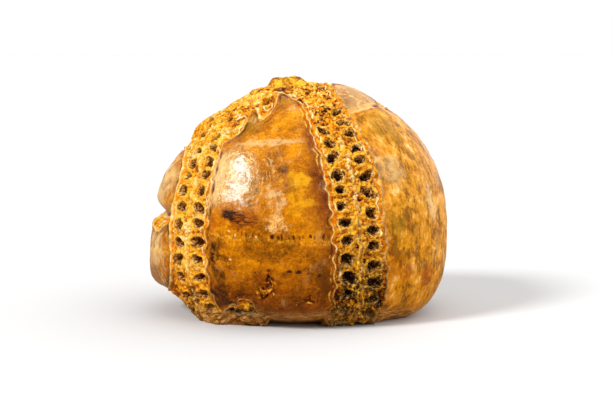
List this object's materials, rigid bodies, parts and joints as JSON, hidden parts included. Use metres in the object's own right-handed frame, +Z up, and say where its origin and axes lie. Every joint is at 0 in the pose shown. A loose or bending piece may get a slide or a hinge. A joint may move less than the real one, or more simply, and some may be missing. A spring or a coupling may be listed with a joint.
{
  "type": "fossil sea urchin",
  "caption": "Small domed fossil sea urchin in amber-brown stone: smooth swollen panels between crusty bands of paired pits, on a flat base.",
  "frame": {"origin": "middle of the bounding box's underside, on the plane it rests on", "axes": "+Z up through the disc at the top; -Y is the front, where a broad smooth panel faces the viewer; +X to the viewer's right"},
  "size_m": [0.036, 0.0348, 0.0284],
  "materials": {
    "amber_stone": "satin"
  },
  "bodies": {
    "root": {"sea_urchin": "amber_stone"}
  },
  "joints": []
}
